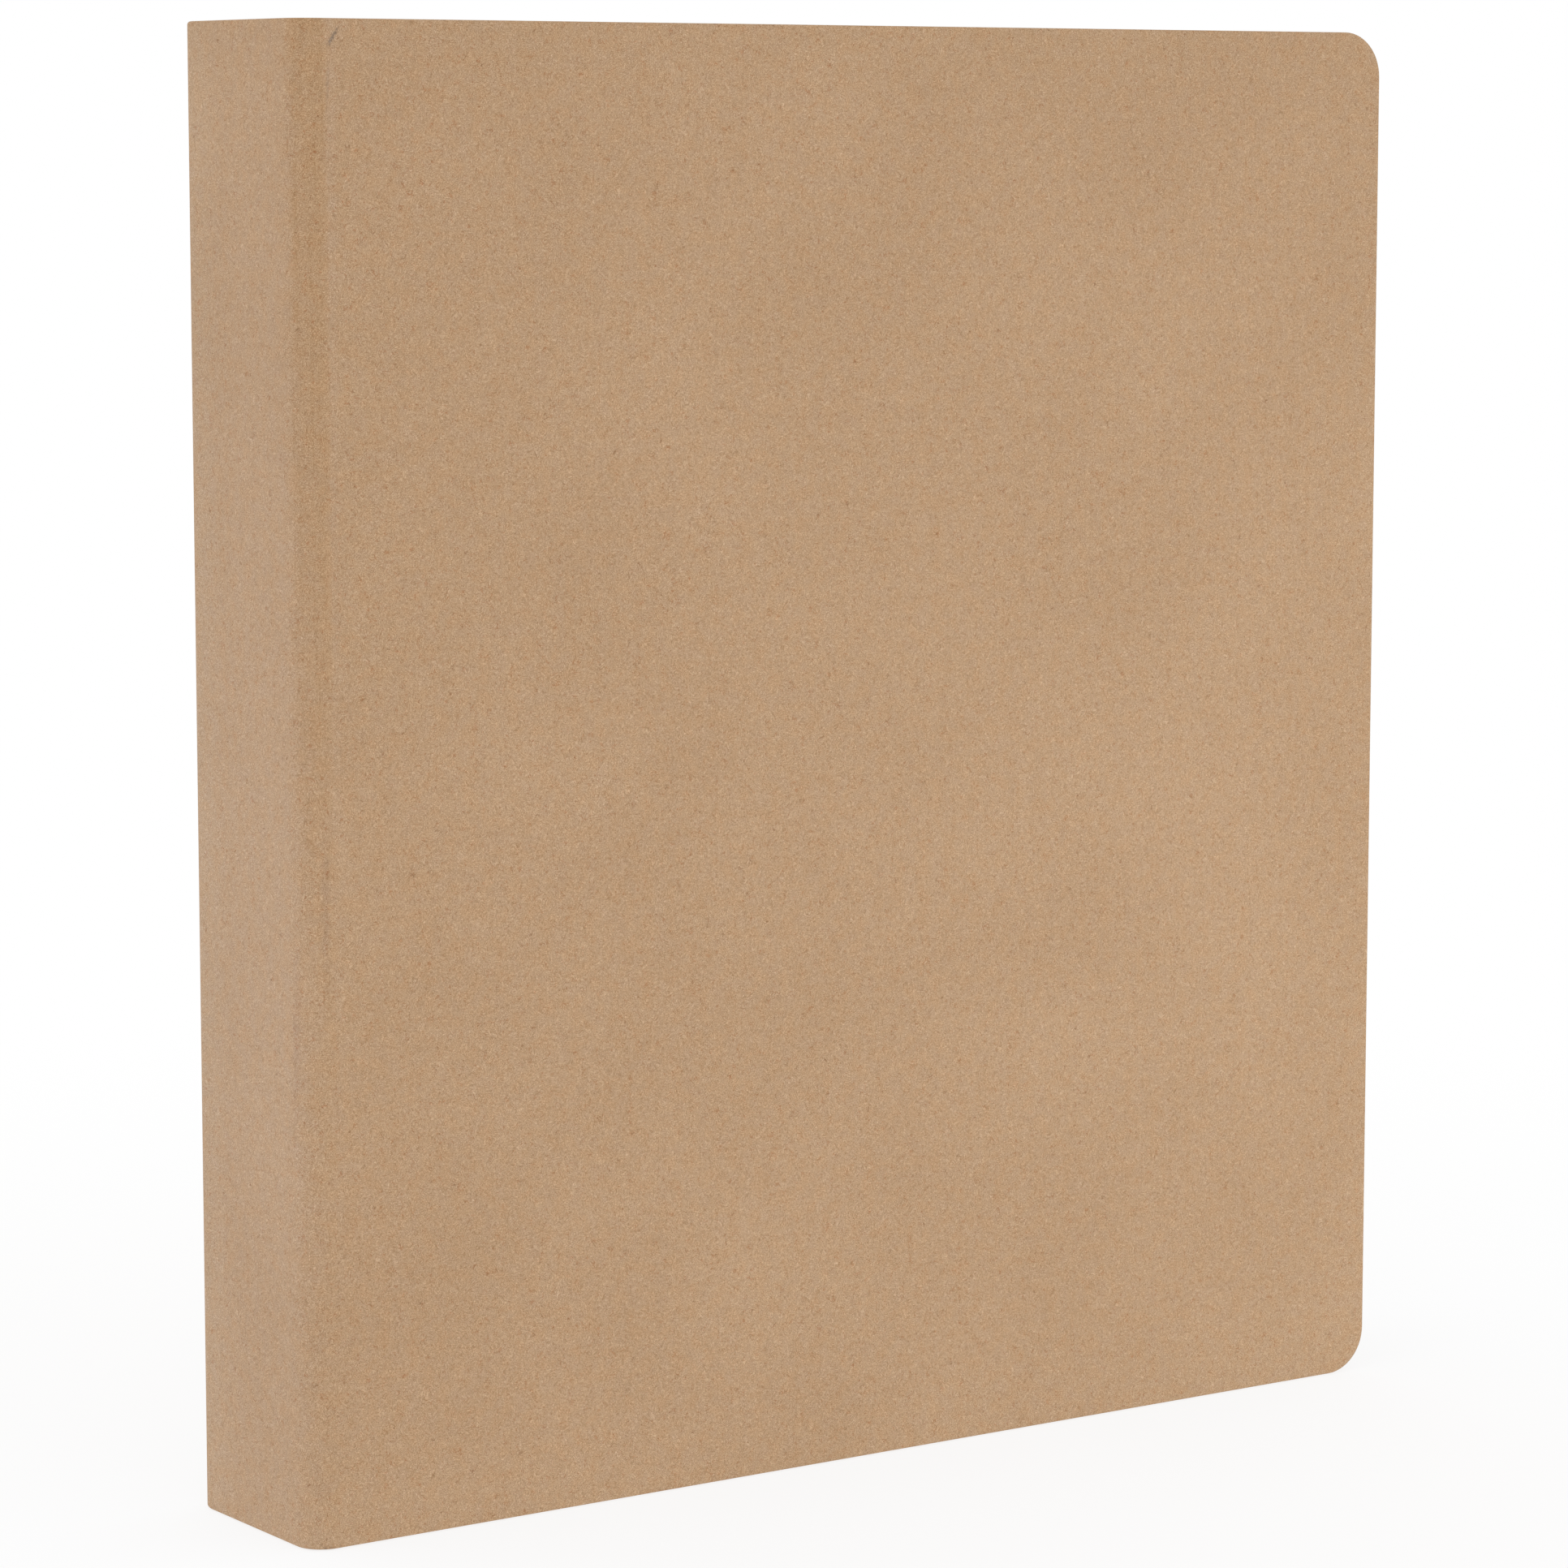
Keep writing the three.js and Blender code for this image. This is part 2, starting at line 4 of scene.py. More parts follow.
import bmesh
import bpy
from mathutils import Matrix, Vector

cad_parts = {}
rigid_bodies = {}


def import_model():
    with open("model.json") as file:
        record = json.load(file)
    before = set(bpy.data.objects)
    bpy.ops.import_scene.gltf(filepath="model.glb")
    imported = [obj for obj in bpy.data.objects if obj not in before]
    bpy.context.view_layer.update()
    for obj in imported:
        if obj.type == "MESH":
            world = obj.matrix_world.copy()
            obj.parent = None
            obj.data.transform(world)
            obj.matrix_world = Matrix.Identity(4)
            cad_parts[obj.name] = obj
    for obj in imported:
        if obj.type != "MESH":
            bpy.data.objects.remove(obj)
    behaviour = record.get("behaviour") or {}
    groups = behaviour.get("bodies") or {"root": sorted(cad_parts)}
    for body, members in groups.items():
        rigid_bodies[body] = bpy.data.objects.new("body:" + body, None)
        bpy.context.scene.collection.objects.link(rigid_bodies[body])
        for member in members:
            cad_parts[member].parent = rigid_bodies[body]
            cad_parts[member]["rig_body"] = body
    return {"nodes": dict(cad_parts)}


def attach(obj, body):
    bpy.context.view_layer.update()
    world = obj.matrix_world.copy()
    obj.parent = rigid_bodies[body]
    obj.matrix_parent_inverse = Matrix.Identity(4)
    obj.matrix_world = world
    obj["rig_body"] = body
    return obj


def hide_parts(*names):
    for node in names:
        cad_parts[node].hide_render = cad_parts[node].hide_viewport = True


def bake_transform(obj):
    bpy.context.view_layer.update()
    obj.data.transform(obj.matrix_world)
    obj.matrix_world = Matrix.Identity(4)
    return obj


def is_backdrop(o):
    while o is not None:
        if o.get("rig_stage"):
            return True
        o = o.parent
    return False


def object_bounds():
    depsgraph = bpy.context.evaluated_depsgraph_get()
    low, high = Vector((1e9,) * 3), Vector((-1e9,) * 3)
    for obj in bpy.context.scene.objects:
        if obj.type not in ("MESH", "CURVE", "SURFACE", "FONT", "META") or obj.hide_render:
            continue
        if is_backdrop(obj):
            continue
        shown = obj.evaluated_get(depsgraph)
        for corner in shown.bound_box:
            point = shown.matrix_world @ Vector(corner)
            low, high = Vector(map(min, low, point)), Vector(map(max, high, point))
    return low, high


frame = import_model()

CAD_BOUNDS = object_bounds()
MM = 0.001

# ---------------------------------------------------------------- case dimensions, as in the CAD

WIDTH = 267 * MM
DEPTH = 45.5 * MM
HEIGHT = 292 * MM
PAPER = 0.4 * MM
BOARD_SHEET = 2.6 * MM  # a wrapped board: paper, board and liner
HINGE_SHEET = 2 * PAPER
HINGE_RADIUS = 6 * MM
HINGE_CENTRE_Y = DEPTH / 2 - HINGE_RADIUS
HINGE_LENGTH = HINGE_RADIUS * math.pi / 2
CORNER_RADIUS = 9.5 * MM
TURN_IN = 6 * MM
LINER_INSET = TURN_IN + 0.15 * MM
EDGE_ROUND = 0.65 * MM  # how softly the paper turns over a board's edge
EDGE_STEPS = 5
HOLD = 0.35 * MM  # a narrow flat band that keeps the flat faces flat in shading
SEAM = 0.3 * MM  # how far onto the spine the cover's wrap reaches
SPINE_RAMP = 1.3 * MM  # where the paper steps down off the spine board
COVER_RAMP = (HINGE_LENGTH - 1.0 * MM, HINGE_LENGTH + 0.25 * MM)  # and up onto the cover board
CUT_BEVEL = 0.06 * MM
PAPER_SHARP = math.radians(50)  # edges turned further than this are shaded sharp
STEEL_SHARP = math.radians(35)
FLAT_ANGLE = math.radians(1)  # faces closer than this to one plane are joined
LOOSE = 0.02 * MM

RAMP_COLUMNS = 8
HINGE_COLUMNS = 26
FLAT_COLUMNS = 14
CORNER_COLUMNS = 14
SPINE_COLUMNS = 16
ROWS = 12

FORE_EDGE_U = HINGE_LENGTH + WIDTH - HINGE_RADIUS
CORNER_U = FORE_EDGE_U - CORNER_RADIUS
SPINE_X = -WIDTH / 2
HINGE_CENTRE_X = SPINE_X + HINGE_RADIUS
SPINE_INNER_X = SPINE_X + BOARD_SHEET

# Ring mechanism
RING_CENTRE_X = SPINE_INNER_X + 16 * MM
RING_RADIUS = 14.3 * MM
RING_ROOT_Y = 8 * MM
RING_BEND = 1.2 * MM
RING_FOOT_X = SPINE_INNER_X + 3.1 * MM
RING_PITCH = 107.95 * MM
WIRE_RADIUS = 1.3 * MM
TIP_GAP = 0.15 * MM
TIP_CHAMFER = 0.2 * MM
CONE = {"radius": 0.65 * MM, "height": 0.8 * MM, "tip_radius": 0.15 * 0.65 * MM}
SOCKET = {"radius": 0.95 * MM, "depth": 1.1 * MM}
WIRE_SIDES = 24
END_RINGS = 2  # how many rings of vertices the wire's first end adds to its line's points
BEND_STEPS = 6
ARC_STEPS = 40

STEEL_BEVELS = {
    "ring_plate": 0.15 * MM,
    "front_rail": 0.12 * MM,
    "back_rail": 0.12 * MM,
    "top_lever": 0.2 * MM,
    "bottom_lever": 0.2 * MM,
    "top_lever_pin": 0.15 * MM,
    "bottom_lever_pin": 0.15 * MM,
    "upper_rivet": 0.08 * MM,
    "lower_rivet": 0.08 * MM,
}

SIDES = {"front": -1, "back": 1}
RING_LEVELS = {"top": RING_PITCH, "middle": 0.0, "bottom": -RING_PITCH}
LEAF_COUNT = 10
LEAF_BEVEL = 0.07 * MM


# ---------------------------------------------------------------- meshes

def smoothstep(low, high, value):
    share = min(max((value - low) / (high - low), 0), 1)
    return share * share * (3 - 2 * share)


def lerp(start, end, share):
    return start + (end - start) * share


def spread(start, end, count):
    return [lerp(start, end, step / count) for step in range(count)]


def new_object(name, verts, faces, flat=None, sharp=PAPER_SHARP):
    mesh = bpy.data.meshes.new(name)
    mesh.from_pydata(verts, [], faces)
    if flat:
        layer = mesh.uv_layers.new(name="sheet")
        for loop in mesh.loops:
            layer.data[loop.index].uv = flat[loop.vertex_index]
    soften(mesh, sharp)
    obj = bpy.data.objects.new(name, mesh)
    bpy.context.scene.collection.objects.link(obj)
    return obj


def soften(mesh, sharp):
    """Smooth shading with sharp edges past an angle, faces turned outwards."""
    work = bmesh.new()
    work.from_mesh(mesh)
    bmesh.ops.recalc_face_normals(work, faces=work.faces)
    work.to_mesh(mesh)
    work.free()
    mesh.shade_smooth()
    mesh.set_sharp_from_angle(angle=sharp)


def finish_piece(obj, material, slot, *nodes):
    obj.data.materials.append(material)
    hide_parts(*nodes)


def paint(node, material):
    mesh = frame["nodes"][node].data
    mesh.materials.clear()
    mesh.materials.append(material)


# ---------------------------------------------------------------- folded paper sheets

def sheet_thickness(u):
    """Thickness of the case at a distance u along the sheet from the spine's edge."""
    off_spine = 1 - smoothstep(0, SPINE_RAMP, u)
    on_cover = smoothstep(*COVER_RAMP, u)
    return lerp(HINGE_SHEET, BOARD_SHEET, max(off_spine, on_cover))


def cover_stations():
    """Columns across a cover, from the spine: distance, corner angle and thickness."""
    columns = [-SEAM] + spread(0, SPINE_RAMP, RAMP_COLUMNS)
    columns += spread(SPINE_RAMP, COVER_RAMP[0], HINGE_COLUMNS)
    columns += spread(*COVER_RAMP, RAMP_COLUMNS)
    columns += [COVER_RAMP[1], COVER_RAMP[1] + HOLD]
    columns += spread(COVER_RAMP[1] + 2 * HOLD, CORNER_U, FLAT_COLUMNS)
    stations = [(u, 0.0, sheet_thickness(u)) for u in columns]
    turns = [math.pi / 2 * step / CORNER_COLUMNS for step in range(CORNER_COLUMNS + 1)]
    return stations + [(CORNER_U, turn, BOARD_SHEET) for turn in turns]


def station_point(station, inset):
    """Where a column meets the lower edge of the sheet, at an inset from that edge."""
    u, turn, _ = station
    radius = CORNER_RADIUS - inset
    return u + radius * math.sin(turn), CORNER_RADIUS - radius * math.cos(turn)


def wrap_section(thickness):
    """Inset and depth along the outer paper, over a board's edge, to the end of its turn-in."""
    inner_round = min(EDGE_ROUND, thickness - EDGE_ROUND - LOOSE)
    turns = [math.pi / 2 * step / EDGE_STEPS for step in range(EDGE_STEPS + 1)]
    over = [(EDGE_ROUND * (1 - math.sin(a)), EDGE_ROUND * (1 - math.cos(a))) for a in turns]
    under = [
        (inner_round * (1 - math.sin(a)), thickness - inner_round * (1 - math.cos(a)))
        for a in reversed(turns)
    ]
    inner = max(thickness - PAPER, PAPER)
    turn_in = [(TURN_IN - CUT_BEVEL, thickness), (TURN_IN, thickness - CUT_BEVEL), (TURN_IN, inner)]
    inside = [(PAPER, inner), (PAPER, PAPER - LOOSE)]
    ends = [(EDGE_ROUND + HOLD, depth) for depth in (0.0, thickness)]
    return [ends[0], *over, *under, ends[1], *turn_in, *inside]


def liner_section(thickness):
    """Inset and depth round a liner, which lies level with the turn-in."""
    return [
        (LINER_INSET + HOLD, thickness),
        (LINER_INSET + CUT_BEVEL, thickness),
        (LINER_INSET, thickness - CUT_BEVEL),
        (LINER_INSET, thickness - PAPER),
    ]


def unfolded(section):
    """The inset that each point of a section has once the paper is laid flat."""
    insets = [section[0][0]]
    for (inset_a, depth_a), (inset_b, depth_b) in zip(section, section[1:]):
        insets.append(insets[-1] - math.hypot(inset_b - inset_a, depth_b - depth_a))
    return insets


def folded_sheet(name, stations, section_of, place, sheet_u, fore_edge):
    """A closed sheet: the first and last points of its section are filled as faces."""
    sections = [section_of(station[2]) for station in stations]
    flats = [unfolded(section) for section in sections]
    last, end = len(stations) - 1, len(sections[0]) - 1
    verts, flat, at = [], [], {}

    def vertex(column, level, row):
        inset, depth = sections[column][level]
        u, low = station_point(stations[column], inset)
        flat_u, flat_low = station_point(stations[column], flats[column][level])
        at[column, level, row] = len(verts)
        verts.append(place(u, lerp(low, HEIGHT - low, row / ROWS), depth))
        flat.append((sheet_u(flat_u), lerp(flat_low, HEIGHT - flat_low, row / ROWS)))

    for column in range(last + 1):
        for level in range(end + 1):
            whole = level in (0, end) or (fore_edge and column == last)
            for row in range(ROWS + 1) if whole else (0, ROWS):
                vertex(column, level, row)
    faces = []
    for column in range(last):
        near, far = column, column + 1
        for level in (0, end):
            for row in range(ROWS):
                quad = (near, level, row), (far, level, row), (far, level, row + 1), (near, level, row + 1)
                faces.append([at[corner] for corner in quad])
        for level in range(end):
            for row in (0, ROWS):
                quad = (near, level, row), (far, level, row), (far, level + 1, row), (near, level + 1, row)
                faces.append([at[corner] for corner in quad])
    if fore_edge:
        for level in range(end):
            for row in range(ROWS):
                quad = (level, row), (level, row + 1), (level + 1, row + 1), (level + 1, row)
                faces.append([at[last, *corner] for corner in quad])
    for column in (0,) if fore_edge else (0, last):
        outer = [at[column, 0, row] for row in reversed(range(ROWS + 1))]
        low = [at[column, level, 0] for level in range(1, end)]
        inner = [at[column, end, row] for row in range(ROWS + 1)]
        high = [at[column, level, ROWS] for level in reversed(range(1, end))]
        faces.append(outer + low + inner + high)
    return new_object(name, verts, faces, flat)


def cover_place(sign):
    """Bends the flat sheet round the hinge: u runs along it, v up it and depth into it."""
    def place(u, v, depth):
        if u < 0:
            return SPINE_X + depth, sign * (HINGE_CENTRE_Y + u), v
        if u > HINGE_LENGTH:
            return HINGE_CENTRE_X + u - HINGE_LENGTH, sign * (DEPTH / 2 - depth), v
        turn, radius = u / HINGE_RADIUS, HINGE_RADIUS - depth
        x = HINGE_CENTRE_X - radius * math.cos(turn)
        return x, sign * (HINGE_CENTRE_Y + radius * math.sin(turn)), v
    return place


def cover_sheet_u(sign):
    """Where a column lies across the whole unfolded sheet, from the middle of the spine."""
    def sheet_u(u):
        return -sign * (u + HINGE_CENTRE_Y)
    return sheet_u


def spine_place(u, v, depth):
    return SPINE_X + depth, -u, v


def bend_with_hinge(obj, side):
    """Bakes the piece's placement into its mesh."""
    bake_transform(obj)


def build_case(kraft, liner, board):
    for side, sign in SIDES.items():
        place, sheet_u = cover_place(sign), cover_sheet_u(sign)
        outside = (f"{side}_wrap", f"{side}_hinge_strip")
        for name, section, material, slot, nodes in (
            (f"{side}_cover_wrap", wrap_section, kraft, "kraft_wrap", outside),
            (f"{side}_cover_liner", liner_section, liner, "kraft_liner", (f"{side}_liner",)),
        ):
            piece = folded_sheet(name, cover_stations(), section, place, sheet_u, fore_edge=True)
            finish_piece(piece, material, slot, *nodes)
            bend_with_hinge(piece, side)
        paint(f"{side}_board", board)
    half = HINGE_CENTRE_Y - SEAM
    across = spread(-half, half, SPINE_COLUMNS) + [half]
    stations = [(u, 0.0, BOARD_SHEET) for u in across]
    for name, section, material, slot, node in (
        ("spine_cover_wrap", wrap_section, kraft, "kraft_wrap", "spine_wrap"),
        ("spine_lining", liner_section, liner, "kraft_liner", "spine_liner"),
    ):
        piece = folded_sheet(name, stations, section, spine_place, lambda u: u, fore_edge=False)
        finish_piece(piece, material, slot, node)
        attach(piece, "spine")
    paint("spine_board", board)


# ---------------------------------------------------------------- ring mechanism

def half_ring_line(sign):
    """The centre line of a half ring, from its rail to its tip, in the plane of the ring."""
    root = math.pi - math.asin(RING_ROOT_Y / RING_RADIUS)
    bend = root - RING_BEND / RING_RADIUS

    def on_ring(angle):
        return Vector((RING_CENTRE_X + RING_RADIUS * math.cos(angle), sign * RING_RADIUS * math.sin(angle)))

    corner, after = on_ring(root), on_ring(bend)
    foot = Vector((RING_FOOT_X, corner.y))
    points = [
        foot * (1 - t) ** 2 + corner * 2 * t * (1 - t) + after * t * t
        for t in spread(0, 1, BEND_STEPS)
    ]
    tip = TIP_GAP / RING_RADIUS
    return points + [on_ring(lerp(bend, tip, step / ARC_STEPS)) for step in range(ARC_STEPS + 1)]


def half_ring(name, sign, z):
    """A round wire: the front half ends in a cone, and the back half in a socket."""
    line = half_ring_line(sign)
    heading = (line[-1] - line[-2]).normalized()
    tip = line[-1]
    rings = [(line[0], 0.0), (line[0], WIRE_RADIUS - TIP_CHAMFER)]
    rings += [(line[0] + (line[1] - line[0]).normalized() * TIP_CHAMFER, WIRE_RADIUS)]
    rings += [(point, WIRE_RADIUS) for point in line[1:-1]]
    rings += [(tip - heading * TIP_CHAMFER, WIRE_RADIUS), (tip, WIRE_RADIUS - TIP_CHAMFER)]
    if sign < 0:
        rings += [(tip, CONE["radius"]), (tip + heading * CONE["height"], CONE["tip_radius"])]
        rings += [(tip + heading * CONE["height"], 0.0)]
    else:
        rings += [(tip, SOCKET["radius"]), (tip - heading * SOCKET["depth"], 0.0)]
    verts, faces = [], []
    for index, (centre, radius) in enumerate(rings):
        near = index - END_RINGS
        before = line[max(0, min(near - 1, len(line) - 2))]
        after = line[max(1, min(near + 1, len(line) - 1))]
        along = (after - before).normalized()
        across = Vector((-along.y, along.x))
        for side in range(WIRE_SIDES):
            angle = 2 * math.pi * side / WIRE_SIDES
            flat = centre + across * radius * math.cos(angle)
            verts.append((flat.x, flat.y, z + radius * math.sin(angle)))
    for index in range(len(rings) - 1):
        for side in range(WIRE_SIDES):
            low, high = index * WIRE_SIDES, (index + 1) * WIRE_SIDES
            beside = (side + 1) % WIRE_SIDES
            faces.append((low + side, low + beside, high + beside, high + side))
    obj = new_object(name, verts, faces, sharp=STEEL_SHARP)
    merge_close(obj)
    return obj


def merge_close(obj):
    work = bmesh.new()
    work.from_mesh(obj.data)
    bmesh.ops.remove_doubles(work, verts=work.verts, dist=LOOSE / 10)
    bmesh.ops.recalc_face_normals(work, faces=work.faces)
    work.to_mesh(obj.data)
    work.free()


def refined(node, width, segments=2):
    """A copy of a CAD node with its flat faces joined and its edges softly broken."""
    source = frame["nodes"][node]
    mesh = source.data.copy()
    mesh.materials.clear()
    obj = bpy.data.objects.new(f"{node}_fine", mesh)
    bpy.context.scene.collection.objects.link(obj)
    for attribute in ("custom_normal", "sharp_face", "sharp_edge"):
        if attribute in mesh.attributes:
            mesh.attributes.remove(mesh.attributes[attribute])
    merge_close(obj)
    work = bmesh.new()
    work.from_mesh(mesh)
    bmesh.ops.dissolve_limit(work, angle_limit=FLAT_ANGLE, verts=work.verts, edges=work.edges)
    work.to_mesh(mesh)
    work.free()
    mesh.shade_smooth()
    bevel = obj.modifiers.new("edge", "BEVEL")
    bevel.width = width
    bevel.segments = segments
    bevel.limit_method = "ANGLE"
    bevel.angle_limit = STEEL_SHARP
    bevel.harden_normals = True
    return obj


def build_mechanism(steel):
    for node, width in STEEL_BEVELS.items():
        piece = refined(node, width)
        body = frame["nodes"][node]["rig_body"]
        finish_piece(piece, steel, "ring_steel", node)
        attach(piece, body)
    for side, sign in SIDES.items():
        for level, z in RING_LEVELS.items():
            ring = half_ring(f"{side}_half_ring_{level}", sign, HEIGHT / 2 + z)
            finish_piece(ring, steel, "ring_steel", f"{side}_ring_{level}")
            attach(ring, f"{side}_rings")


def build_leaves(card):
    for number in range(1, LEAF_COUNT + 1):
        node = f"leaf_{number:02d}"
        leaf = refined(node, LEAF_BEVEL, segments=1)
        finish_piece(leaf, card, "leaf_card", node)
        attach(leaf, node)


# ---------------------------------------------------------------- materials

# Lengths in the tables below are in millimetres, and a shift only keeps patterns from lining up.

SHIFT_SHARES = (1.0, 0.7, 0.3)  # how much of a shift goes along each axis

KRAFT_COLOUR = (0.448, 0.2885, 0.1645)
KRAFT_DEPTH = (0.82, 1.0, 1.29)  # darker fibres are redder, so blue falls fastest
KRAFT_FINISH = {"roughness": 0.88, "specular": 0.35}
GRAIN = {"size": 0.19, "detail": 1.0, "shift": 5}
GRAIN_SWING = 1.0
FELT = {"size": 0.165, "stretch": 0.28, "sway": 2.6, "sway_size": 2.5, "swing": 0.60}
FELT_LAYERS = ((25, 11), (-40, 23), (80, 37))  # each layer's lean in degrees, and its shift
MOTTLING = (  # each layer's noise, and its swing
    ({"size": 3.4, "detail": 3.0, "shift": 41, "roughness": 0.65}, 0.15),
    ({"size": 45.0, "detail": 2.0, "shift": 93}, 0.14),
)
WARMTH = {"size": 3.4, "detail": 2.0, "shift": 67}
WARM_PATCHES = {"range": (0.45, 0.72), "tone": (1.012, 0.98, 0.94)}
COOL_PATCHES = {"range": (0.52, 0.28), "tone": (0.99, 1.0, 1.035)}
RUST_FIBRES = {
    "layers": ((2.1, 110), (1.6, 130), (1.3, 170)),  # each layer's size and shift
    "width": 0.020, "keep": 0.52, "share": 0.8, "tone": (0.86, 0.71, 0.61),
}
PALE_FIBRES = {
    "layers": ((1.1, 150),),
    "width": 0.025, "keep": 0.50, "share": 0.3, "tone": (1.08, 1.10, 1.12),
}
BROWN_FIBRES = {
    "layers": ((1.8, 190),),
    "width": 0.016, "keep": 0.69, "share": 0.8, "tone": (0.66, 0.56, 0.48),
}
FIBRE_CURL = 0.2
FIBRE_PATCH = {"scale": 1.1, "shift": 31, "softness": 0.06}
FLECKS = {"cell": 13.0, "edge": (0.007, 0.015), "chosen": (0.55, 0.58), "tone": (0.25, 0.20, 0.18)}

# The hinge's wear, with painted light beside it: a highlight line and a paler spine edge. A band is where
# it starts and where it ends, each as a soft step.
HINGE_START = HINGE_CENTRE_Y / MM
HINGE_END = (HINGE_CENTRE_Y + HINGE_LENGTH) / MM
WEAR_AND_HIGHLIGHT_HEIGHTS = (20.0, 270.0)
WEAR_AND_HIGHLIGHT_LEAST = 0.1
WEAR_AND_HIGHLIGHT_WOBBLE = {"size": 9.0, "detail": 2.0, "shift": 260}
WEAR_AND_HIGHLIGHT_WOBBLE_REACH = 0.8
WEAR_BAND = ((HINGE_START + 1.6, HINGE_START + 4.0), (HINGE_END - 0.6, HINGE_END + 1.0))
WEAR_TONE = (0.962, 0.935, 0.885)
STREAKS = {"size": 0.9, "detail": 2.0, "shift": 230}
STREAK_STRETCH = (1.0, 0.03, 1.0)
STREAK_RANGE = (0.5, 0.75)
STREAK_TONE = (0.95, 0.935, 0.90)
# painted highlight: a pale, cool line just past the hinge, where the paper steps up onto the cover board
PAINTED_HIGHLIGHT_BAND = ((HINGE_END + 0.3, HINGE_END + 1.2), (HINGE_END + 1.8, HINGE_END + 3.2))
PAINTED_HIGHLIGHT_TONE = (1.0, 1.02, 1.07)
# painted light: paler, bluer paper towards the spine's back edge and over the whole back cover, standing in
# for a cool light from the left
PAINTED_SPINE_LIGHT = {"range": (-6.0, -15.0), "tone": (1.02, 1.045, 1.075)}
FOOT_HEIGHTS = (1.6, 0.2)
FOOT_BAND = ((HINGE_START + 3, HINGE_START + 5), (HINGE_END, HINGE_END + 2))
FOOT_RUB = {"size": 1.6, "detail": 3.0, "shift": 300}
FOOT_RUB_RANGE = (0.45, 0.6)
FOOT_TONE = (0.62, 0.62, 0.64)
RUB_BREAK = 1.4  # how much a rubbed mark's edge is broken up
RUB_RANGE = (0.8, 1.7)
RUB_GRAIN = {"detail": 3.0, "shift": 340}
RUB_MARKS = (  # by the front hinge: place on the sheet, and lean in degrees from level
    {"place": (28.4, 288.6), "lean": 57, "size": (5.6, 1.3), "grain": 0.5, "tone": (0.55, 0.58, 0.64)},
    {"place": (27.1, 279.0), "lean": 86, "size": (15.0, 1.1), "grain": 0.8, "tone": (0.90, 0.91, 0.94)},
    {"place": (25.0, 125.0), "lean": 90, "size": (44.0, 2.6), "grain": 2.0, "tone": (0.90, 0.90, 0.93)},
    {"place": (18.7, 97.0), "lean": 89, "size": (56.0, 3.2), "grain": 2.5, "tone": (0.93, 0.92, 0.94)},
)

BOARD_COLOUR = (0.29, 0.27, 0.24)
BOARD_LAYERS = (0.1, 1.0, 0.1)  # stretches a noise into sheets that face the front and back
CARD_COLOUR = (0.80, 0.745, 0.62)
CARD_FIBRES = {
    "layers": ((1.3, 77),),
    "width": 0.02, "keep": 0.60, "share": 0.5, "tone": (0.95, 0.92, 0.86),
}
# the score's depth is a bump, and its tone is painted shade in the groove
CARD_SCORE = {"x": -89.0, "half": 0.5, "depth": 4.0, "tone": (0.93, 0.92, 0.90)}  # beside the holes
STEEL_COLOUR = (0.66, 0.665, 0.67)
STEEL_DRAWN = (1.0, 1.0, 0.04)  # stretches a noise into lines along the steel
STEEL_GRAIN = 0.08
HAZE_RANGE = (0.3, 0.7)
HAZE_ROUGHNESS = (0.16, 0.26)


